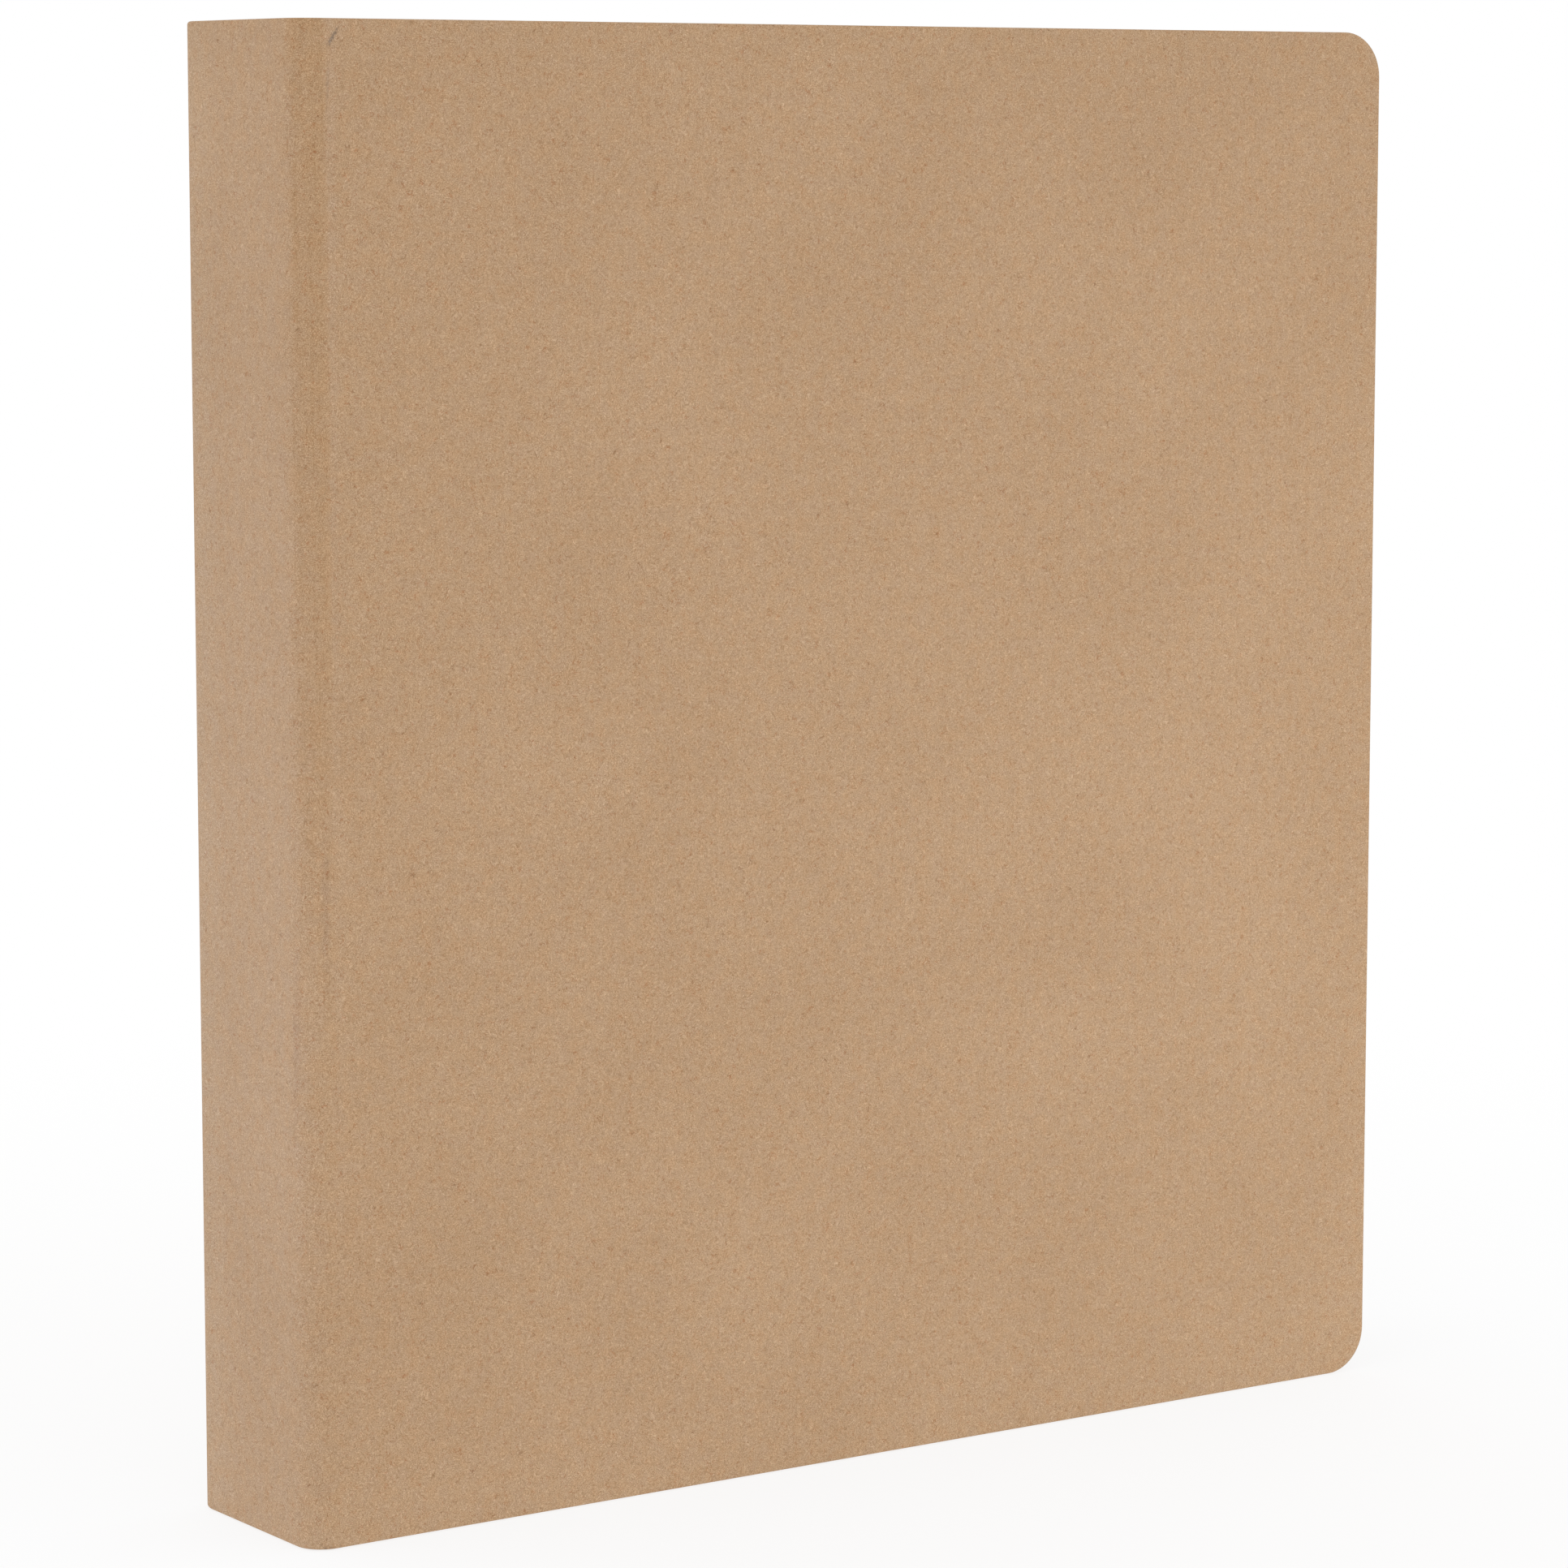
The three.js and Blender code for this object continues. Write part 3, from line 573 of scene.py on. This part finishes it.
class Graph:
    """Builds one material's nodes. Lengths are in millimetres on the surface."""

    def __init__(self, name, sheet=False):
        self.dimensions = "2D" if sheet else "3D"
        self.material = bpy.data.materials.new(name)
        self.material.use_nodes = True
        self.tree = self.material.node_tree
        self.shader = self.tree.nodes["Principled BSDF"]
        if sheet:
            source = self.node("ShaderNodeUVMap", uv_map="sheet").outputs[0]
        else:
            source = self.node("ShaderNodeTexCoord").outputs["Object"]
        self.place = self.vector("SCALE", source, Scale=1 / MM)

    def feed(self, socket, value):
        if isinstance(value, bpy.types.NodeSocket):
            self.tree.links.new(value, socket)
        else:
            socket.default_value = value

    def node(self, kind, inputs=None, **settings):
        node = self.tree.nodes.new(kind)
        for key, value in settings.items():
            setattr(node, key, value)
        for key, value in (inputs or {}).items():
            self.feed(node.inputs[key], value)
        return node

    def vector(self, operation, first, second=None, **named):
        inputs = {0: first, **named}
        if second is not None:
            inputs[1] = second
        return self.node("ShaderNodeVectorMath", inputs, operation=operation).outputs[0]

    def length(self, vector):
        return self.node("ShaderNodeVectorMath", {0: vector}, operation="LENGTH").outputs["Value"]

    def math(self, operation, first, second=0.0):
        return self.node("ShaderNodeMath", {0: first, 1: second}, operation=operation).outputs[0]

    def times(self, first, second):
        return self.math("MULTIPLY", first, second)

    def parts(self):
        """The place's separate coordinates."""
        return self.node("ShaderNodeSeparateXYZ", {0: self.place}).outputs

    def turned(self, vector, degrees):
        inputs = {"Vector": vector, "Angle": math.radians(degrees)}
        return self.node("ShaderNodeVectorRotate", inputs, rotation_type="Z_AXIS").outputs[0]

    def noise(self, size, detail=1.0, shift=0.0, roughness=0.5, distortion=0.0, place=None):
        """Noise of a feature size, shifted so that no two patterns line up."""
        moves = [share * shift for share in SHIFT_SHARES]
        moved = self.vector("ADD", place or self.place, moves)
        inputs = {"Vector": moved, "Scale": 1 / size, "Detail": detail}
        inputs.update({"Roughness": roughness, "Distortion": distortion})
        return self.node("ShaderNodeTexNoise", inputs, noise_dimensions=self.dimensions).outputs["Fac"]

    def felt(self, lean, shift):
        """Fine fibres that lie roughly one way, waving a little."""
        moved = self.vector("ADD", self.place, (shift, shift, 0))
        inputs = {"Vector": moved, "Scale": 1 / FELT["sway_size"], "Detail": 1.0}
        sway = self.node("ShaderNodeTexNoise", inputs, noise_dimensions=self.dimensions).outputs["Color"]
        sway = self.vector("SCALE", self.vector("SUBTRACT", sway, (0.5, 0.5, 0.5)), Scale=FELT["sway"])
        along = self.turned(self.vector("ADD", self.place, sway), lean)
        stretched = self.vector("MULTIPLY", along, (1.0, FELT["stretch"], 1.0))
        return self.noise(FELT["size"], detail=1.0, shift=shift, place=stretched)

    def flecks(self):
        """A few dark specks, each in its own wide cell."""
        inputs = {"Vector": self.place, "Scale": 1 / FLECKS["cell"]}
        cells = self.node("ShaderNodeTexVoronoi", inputs)
        speck = self.remap(cells.outputs["Distance"], *FLECKS["edge"], 1.0, 0.0)
        draw = self.node("ShaderNodeSeparateColor", {0: cells.outputs["Color"]}).outputs[0]
        return self.times(speck, self.remap(draw, *FLECKS["chosen"]))

    def remap(self, value, low, high, to_low=0.0, to_high=1.0):
        inputs = {"Value": value, "From Min": low, "From Max": high, "To Min": to_low, "To Max": to_high}
        return self.node("ShaderNodeMapRange", inputs, interpolation_type="SMOOTHSTEP").outputs[0]

    def between(self, value, rise, fall):
        """0 outside a band and 1 inside it, with soft sides."""
        return self.times(self.remap(value, *rise), self.remap(value, *fall, 1.0, 0.0))

    def rub(self, mark):
        """A rubbed mark: a long thin oval with a broken edge, somewhere on the sheet."""
        away = self.vector("SUBTRACT", self.place, (*mark["place"], 0.0))
        length, width = mark["size"]
        oval = self.vector("MULTIPLY", self.turned(away, -mark["lean"]), (2 / length, 2 / width, 0.0))
        broken = self.noise(mark["grain"], **RUB_GRAIN)
        reach = self.math("ADD", self.length(oval), self.times(broken, RUB_BREAK))
        return self.remap(reach, *RUB_RANGE, 1.0, 0.0)

    def swing(self, value, amount):
        """1 where a noise is at its middle, and more or less than that by an amount."""
        inputs = {0: value, 1: amount, 2: 1 - amount / 2}
        return self.node("ShaderNodeMath", inputs, operation="MULTIPLY_ADD").outputs[0]

    def tint(self, colour, factor, tone):
        """Multiplies a colour by a tone, as far as a factor says."""
        inputs = {"Fac": factor, "Color1": colour, "Color2": (*tone, 1.0)}
        return self.node("ShaderNodeMixRGB", inputs, blend_type="MULTIPLY").outputs[0]

    def scaled(self, colour, value):
        return self.vector("SCALE", colour, Scale=value)

    def bump(self, height, distance, strength):
        inputs = {"Height": height, "Distance": distance, "Strength": strength}
        return self.node("ShaderNodeBump", inputs).outputs[0]

    def fibres(self, colour, kind):
        """Short curly fibres: thin level lines of a noise, kept only in scattered patches."""
        for size, shift in kind["layers"]:
            field = self.noise(size, detail=1.0, shift=shift, distortion=FIBRE_CURL)
            away = self.math("ABSOLUTE", self.math("SUBTRACT", field, 0.5))
            line = self.remap(away, 0.0, kind["width"], 1.0, 0.0)
            patch = self.noise(size * FIBRE_PATCH["scale"], detail=0.0, shift=shift + FIBRE_PATCH["shift"])
            kept = self.remap(patch, kind["keep"], kind["keep"] + FIBRE_PATCH["softness"])
            colour = self.tint(colour, self.times(self.times(line, kept), kind["share"]), kind["tone"])
        return colour

    def done(self, colour, roughness, normal, specular=0.5, metallic=0.0):
        self.feed(self.shader.inputs["Base Color"], colour)
        self.feed(self.shader.inputs["Roughness"], roughness)
        self.feed(self.shader.inputs["Specular IOR Level"], specular)
        self.feed(self.shader.inputs["Metallic"], metallic)
        self.feed(self.shader.inputs["Normal"], normal)
        return self.material


def kraft_material(name, hinge):
    """Unbleached kraft paper: felted fibres, soft mottling, curly strands and a few dark flecks."""
    g = Graph(name, sheet=True)
    grain = g.noise(**GRAIN)
    felt = [g.felt(lean, shift) for lean, shift in FELT_LAYERS]
    swings = [(layer, FELT["swing"]) for layer in felt]
    swings += [(g.noise(**pattern), amount) for pattern, amount in MOTTLING]
    light = g.swing(grain, GRAIN_SWING)
    for field, amount in swings:
        light = g.times(light, g.swing(field, amount))
    powers = [g.math("POWER", light, power) for power in KRAFT_DEPTH]
    shade = g.node("ShaderNodeCombineXYZ", dict(enumerate(powers))).outputs[0]
    colour = g.vector("MULTIPLY", shade, KRAFT_COLOUR)
    warmth = g.noise(**WARMTH)
    for patches in (WARM_PATCHES, COOL_PATCHES):
        colour = g.tint(colour, g.remap(warmth, *patches["range"]), patches["tone"])
    for kind in (RUST_FIBRES, PALE_FIBRES, BROWN_FIBRES):
        colour = g.fibres(colour, kind)
    colour = g.tint(colour, g.flecks(), FLECKS["tone"])
    if hinge:
        # hinge wear, plus painted light: a highlight line and a paler spine edge
        colour = hinge_wear_and_painted_light(g, colour)
    height = g.math("ADD", g.math("ADD", felt[0], felt[1]), g.math("ADD", felt[2], grain))
    normal = g.bump(height, distance=0.02 * MM, strength=0.4)
    return g.done(colour, normal=normal, **KRAFT_FINISH)


def hinge_wear_and_painted_light(g, colour):
    """Tints the hinge's bent paper where hands rub it, most of all near its top.

    The band of the hinge is darker and warmer, with a scuffed foot; painted light adds a pale cool
    highlight line beside the band and paler, bluer paper towards the spine's back edge.
    """
    along, height, _ = g.parts()
    across = g.math("ABSOLUTE", along)
    wobble = g.math("SUBTRACT", g.noise(**WEAR_AND_HIGHLIGHT_WOBBLE), 0.5)
    moved = g.math("ADD", across, g.times(wobble, WEAR_AND_HIGHLIGHT_WOBBLE_REACH))
    # stronger towards the top, for both the worn band and the painted highlight
    height_share = g.remap(height, *WEAR_AND_HIGHLIGHT_HEIGHTS, WEAR_AND_HIGHLIGHT_LEAST, 1.0)
    band = g.times(height_share, g.between(moved, *WEAR_BAND))
    # the painted highlight's mask, a band just past the worn one
    painted_highlight = g.times(height_share, g.between(moved, *PAINTED_HIGHLIGHT_BAND))
    streak = g.noise(**STREAKS, place=g.vector("MULTIPLY", g.place, STREAK_STRETCH))
    foot = g.times(g.remap(height, *FOOT_HEIGHTS), g.between(across, *FOOT_BAND))
    rubbed = g.times(foot, g.remap(g.noise(**FOOT_RUB), *FOOT_RUB_RANGE))
    # painted light: the spine turns paler and bluer towards its back edge
    colour = g.tint(colour, g.remap(along, *PAINTED_SPINE_LIGHT["range"]), PAINTED_SPINE_LIGHT["tone"])
    colour = g.tint(colour, band, WEAR_TONE)
    colour = g.tint(colour, g.times(band, g.remap(streak, *STREAK_RANGE)), STREAK_TONE)
    # painted highlight along the step onto the cover board
    colour = g.tint(colour, painted_highlight, PAINTED_HIGHLIGHT_TONE)
    colour = g.tint(colour, rubbed, FOOT_TONE)
    for mark in RUB_MARKS:
        colour = g.tint(colour, g.rub(mark), mark["tone"])
    return colour


def board_material():
    """Raw grey board, with its layers showing at the cut edges."""
    g = Graph("grey_board")
    fleck = g.noise(size=1.4, detail=3.0, shift=12, roughness=0.7)
    flattened = g.vector("MULTIPLY", g.place, BOARD_LAYERS)
    layers = g.noise(size=0.35, detail=1.0, shift=30, place=flattened)
    light = g.times(g.swing(fleck, amount=0.35), g.swing(layers, amount=0.25))
    normal = g.bump(fleck, distance=0.05 * MM, strength=0.4)
    return g.done(g.scaled(BOARD_COLOUR, light), roughness=0.95, normal=normal, specular=0.2)


def card_material():
    """Smooth ivory card with a scored line beside the punched holes, its groove darkened with painted
    shade.
    """
    g = Graph("ivory_card")
    tooth = g.noise(size=0.4, detail=2.0, shift=8)
    cloud = g.noise(size=14.0, detail=2.0, shift=50)
    light = g.times(g.swing(tooth, amount=0.06), g.swing(cloud, amount=0.04))
    colour = g.fibres(g.scaled(CARD_COLOUR, light), CARD_FIBRES)
    x, half = CARD_SCORE["x"], CARD_SCORE["half"]
    score = g.between(g.parts()[0], (x - half, x), (x, x + half))
    # painted shade: the score's groove is darkened
    colour = g.tint(colour, score, CARD_SCORE["tone"])
    height = g.math("SUBTRACT", tooth, g.times(score, CARD_SCORE["depth"]))
    normal = g.bump(height, distance=0.02 * MM, strength=0.4)
    return g.done(colour, roughness=0.8, normal=normal, specular=0.3)


def steel_material():
    """Nickel-plated steel, drawn lengthwise and slightly hazed."""
    g = Graph("nickel_steel")
    drawn = g.vector("MULTIPLY", g.place, STEEL_DRAWN)
    grain = g.noise(size=0.25, detail=2.0, shift=3, place=drawn)
    haze = g.noise(size=12.0, detail=3.0, shift=22)
    roughness = g.math("ADD", g.remap(haze, *HAZE_RANGE, *HAZE_ROUGHNESS), g.times(grain, STEEL_GRAIN))
    colour = g.scaled(STEEL_COLOUR, g.swing(haze, amount=0.05))
    normal = g.bump(grain, distance=0.004 * MM, strength=0.2)
    return g.done(colour, roughness, normal, metallic=1.0)


# ---------------------------------------------------------------- studio

WORLD_LIGHT = 1.0
WHITE = (1.0, 1.0, 1.0, 1.0)
FLOOR_COLOUR = (0.93, 0.93, 0.93, 1.0)
FLOOR_SIZE = 12.0
FLOOR_DROP = 0.2 * MM
FLOOR_FADE = (120.0, 600.0)  # millimetres out from the album's middle, where the floor turns plain white
FLOOR_GLOW = 0.82  # the share of that plain white beside the album
CAMERA = {"place": (-0.6265, -0.8834, 0.2710), "turn": (82.954, 0.0, -35.055), "lens": 121.18}
LAMPS = {
    "front_fill": {
        "place": (0.36, -0.50, 0.03), "aim": (0.11, 0.0, 0.03),
        "spread": 66, "size": 0.35, "power": 0.185, "colour": (0.79, 0.89, 1.0),
    },
    "spine_fill": {
        "place": (-0.62, 0.06, 0.03), "aim": (-0.13, 0.0, 0.05),
        "spread": 62, "size": 0.35, "power": 0.147, "colour": (0.37, 0.57, 1.0),
    },
}


def floor_material():
    """Partly matt near the album, to take its shade, and the world's plain white far from it."""
    g = Graph("studio_floor")
    fade = g.remap(g.length(g.place), *FLOOR_FADE, FLOOR_GLOW, 1.0)
    g.feed(g.shader.inputs["Base Color"], FLOOR_COLOUR)
    g.feed(g.shader.inputs["Roughness"], 0.9)
    g.feed(g.shader.inputs["Specular IOR Level"], 0.1)
    glow = g.node("ShaderNodeEmission", {"Color": WHITE, "Strength": WORLD_LIGHT})
    mixed = g.node("ShaderNodeMixShader", {0: fade, 1: g.shader.outputs[0], 2: glow.outputs[0]})
    g.feed(g.tree.nodes["Material Output"].inputs["Surface"], mixed.outputs[0])
    return g.material


def build_floor():
    half = FLOOR_SIZE / 2
    verts = [(-half, -half, 0), (half, -half, 0), (half, half, 0), (-half, half, 0)]
    floor = new_object("studio_floor", verts, [(0, 1, 2, 3)])
    floor.location.z = -FLOOR_DROP
    floor.data.materials.append(floor_material())
    floor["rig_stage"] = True


def build_lamps():
    for name, lamp in LAMPS.items():
        light = bpy.data.lights.new(name, "AREA")
        light.shape = "DISK"
        light.size = lamp["size"]
        light.energy = lamp["power"]
        light.color = lamp["colour"]
        light.spread = math.radians(lamp["spread"])
        obj = bpy.data.objects.new(name, light)
        obj.location = lamp["place"]
        obj.visible_camera = False
        heading = Vector(lamp["aim"]) - Vector(lamp["place"])
        obj.rotation_euler = heading.to_track_quat("-Z", "Y").to_euler()
        bpy.context.scene.collection.objects.link(obj)


def build_world():
    world = bpy.data.worlds.new("studio")
    world.use_nodes = True
    background = world.node_tree.nodes["Background"]
    background.inputs["Color"].default_value = WHITE
    background.inputs["Strength"].default_value = WORLD_LIGHT
    bpy.context.scene.world = world
    bpy.context.scene.view_settings.view_transform = "Standard"


def build_camera():
    camera = bpy.data.cameras.new("camera")
    camera.lens = CAMERA["lens"]
    camera.sensor_width = 36.0
    camera.clip_start = 0.01
    camera.clip_end = 50.0
    obj = bpy.data.objects.new("camera", camera)
    obj.location = CAMERA["place"]
    obj.rotation_euler = [math.radians(angle) for angle in CAMERA["turn"]]
    bpy.context.scene.collection.objects.link(obj)
    bpy.context.scene.camera = obj


build_case(
    kraft_material("kraft_wrap", hinge=True),
    kraft_material("kraft_liner", hinge=False),
    board_material(),
)
build_mechanism(steel_material())
build_leaves(card_material())
build_floor()
build_lamps()
build_world()
build_camera()

bounds = [[list(corner) for corner in box] for box in (CAD_BOUNDS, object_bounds())]
